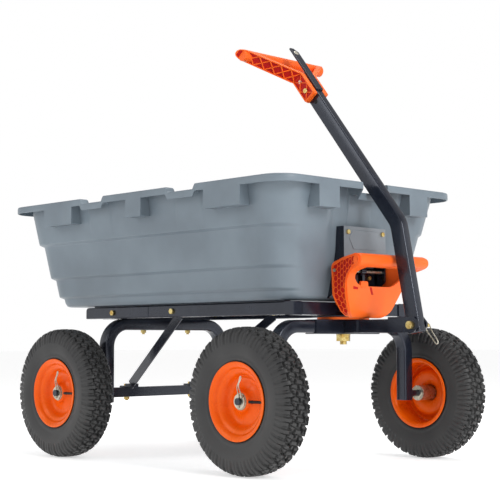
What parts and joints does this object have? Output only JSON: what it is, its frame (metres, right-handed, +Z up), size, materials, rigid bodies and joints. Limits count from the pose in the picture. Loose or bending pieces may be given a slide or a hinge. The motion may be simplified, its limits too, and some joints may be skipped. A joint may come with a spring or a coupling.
{
  "type": "garden dump cart",
  "caption": "Four-wheeled garden cart with a tipping moulded tub, steered front axle, folding-grip tow handle and a lever that releases the tub.",
  "frame": {"origin": "on the ground under the middle of the bounding box", "axes": "+X forwards, the way the cart is pulled; +Y to its left; +Z up"},
  "size_m": [1.2115, 0.7212, 1.0365],
  "materials": {
    "tub_plastic": "fine moulded grain, satin",
    "grey_bracket": "satin paint",
    "black_frame": "gloss powder coat",
    "orange_rim": "gloss paint",
    "orange_plastic": "satin",
    "tyre_rubber": "matte rubber",
    "valve_rubber": "semi-gloss rubber",
    "zinc_steel": "yellow zinc plate"
  },
  "bodies": {
    "chassis": {"rear_rail_left": "black_frame", "rear_rail_right": "black_frame", "front_rail_left": "black_frame", "front_rail_right": "black_frame", "rail_sleeves": "black_frame", "front_cross_member": "black_frame", "rear_cross_member": "black_frame", "hinge_tube": "black_frame", "corner_brackets": "black_frame", "rear_axle_frame": "black_frame", "rear_axle": "black_frame", "brace_left": "black_frame", "brace_right": "black_frame", "rail_bolts": "zinc_steel", "rear_frame_bolts": "zinc_steel", "axle_bolts": "zinc_steel", "kingpin_plate": "black_frame", "thrust_disc": "orange_plastic", "kingpin": "zinc_steel", "latch_striker": "black_frame", "rear_washers": "zinc_steel", "rear_axle_pins": "zinc_steel"},
    "front_axle": {"front_axle_frame": "black_frame", "front_spindles": "black_frame", "steering_saddle": "black_frame", "drawbar": "black_frame", "clevis_plates": "black_frame", "front_washers": "zinc_steel", "front_axle_pins": "zinc_steel"},
    "handle_pin": {"handle_pin": "zinc_steel", "handle_clip": "zinc_steel"},
    "handle": {"handle_tube": "black_frame", "hitch_ear": "black_frame", "grip_bolt": "zinc_steel"},
    "grip": {"grip": "orange_plastic"},
    "lock_pin": {"lock_pin": "zinc_steel"},
    "tub": {"tub": "tub_plastic", "hinge_straps": "black_frame", "tub_runners": "black_frame", "tub_bracket": "grey_bracket", "bracket_bolts": "zinc_steel", "lever_pin": "zinc_steel"},
    "release_lever": {"release_lever": "orange_plastic", "latch_hook": "black_frame"},
    "front_left_wheel": {"front_left_tyre": "tyre_rubber", "front_left_rim": "orange_rim", "front_left_hub": "zinc_steel", "front_left_valve": "valve_rubber"},
    "front_right_wheel": {"front_right_tyre": "tyre_rubber", "front_right_rim": "orange_rim", "front_right_hub": "zinc_steel", "front_right_valve": "valve_rubber"},
    "rear_left_wheel": {"rear_left_tyre": "tyre_rubber", "rear_left_rim": "orange_rim", "rear_left_hub": "zinc_steel", "rear_left_valve": "valve_rubber"},
    "rear_right_wheel": {"rear_right_tyre": "tyre_rubber", "rear_right_rim": "orange_rim", "rear_right_hub": "zinc_steel", "rear_right_valve": "valve_rubber"}
  },
  "joints": [
    {"name": "steer", "type": "hinge", "parent": "chassis", "child": "front_axle", "pos_m": [0.35125, 0, 0.3315], "axis": [0, 0, 1], "range_deg": [-12, 12]},
    {"name": "tub_dump", "type": "hinge", "parent": "chassis", "child": "tub", "pos_m": [-0.39175, 0, 0.373], "axis": [0, -1, 0], "range_deg": [0, 50]},
    {"name": "lever_lift", "type": "hinge", "parent": "tub", "child": "release_lever", "pos_m": [0.41125, 0, 0.461], "axis": [0, -1, 0], "range_deg": [0, 25]},
    {"name": "handle_push", "type": "hinge", "parent": "front_axle", "child": "handle_pin", "pos_m": [0.57025, 0, 0.333], "axis": [0, 1, 0], "range_deg": [0, 50]},
    {"name": "handle_swing", "type": "hinge", "parent": "handle_pin", "child": "handle", "pos_m": [0.57025, 0, 0.333], "axis": [0, 1, 0], "range_deg": [0, 80]},
    {"name": "grip_fold", "type": "hinge", "parent": "handle", "child": "grip", "pos_m": [0.25625, 0, 0.9144], "axis": [0, -1, 0], "range_deg": [0, 125]},
    {"name": "lock_pin_pull", "type": "slide", "parent": "grip", "child": "lock_pin", "axis": [0, 1, 0], "range_m": [0, 0.05]},
    {"name": "front_left_spin", "type": "hinge", "parent": "front_axle", "child": "front_left_wheel", "pos_m": [0.35125, 0.3186, 0.165], "axis": [0, 1, 0], "continuous": true},
    {"name": "front_right_spin", "type": "hinge", "parent": "front_axle", "child": "front_right_wheel", "pos_m": [0.35125, -0.3186, 0.165], "axis": [0, 1, 0], "continuous": true},
    {"name": "rear_left_spin", "type": "hinge", "parent": "chassis", "child": "rear_left_wheel", "pos_m": [-0.33375, 0.3186, 0.165], "axis": [0, 1, 0], "continuous": true},
    {"name": "rear_right_spin", "type": "hinge", "parent": "chassis", "child": "rear_right_wheel", "pos_m": [-0.33375, -0.3186, 0.165], "axis": [0, 1, 0], "continuous": true}
  ],
  "couplings": [
    {"joint": "handle_push", "follows": "tub_dump", "ratio": 1}
  ]
}
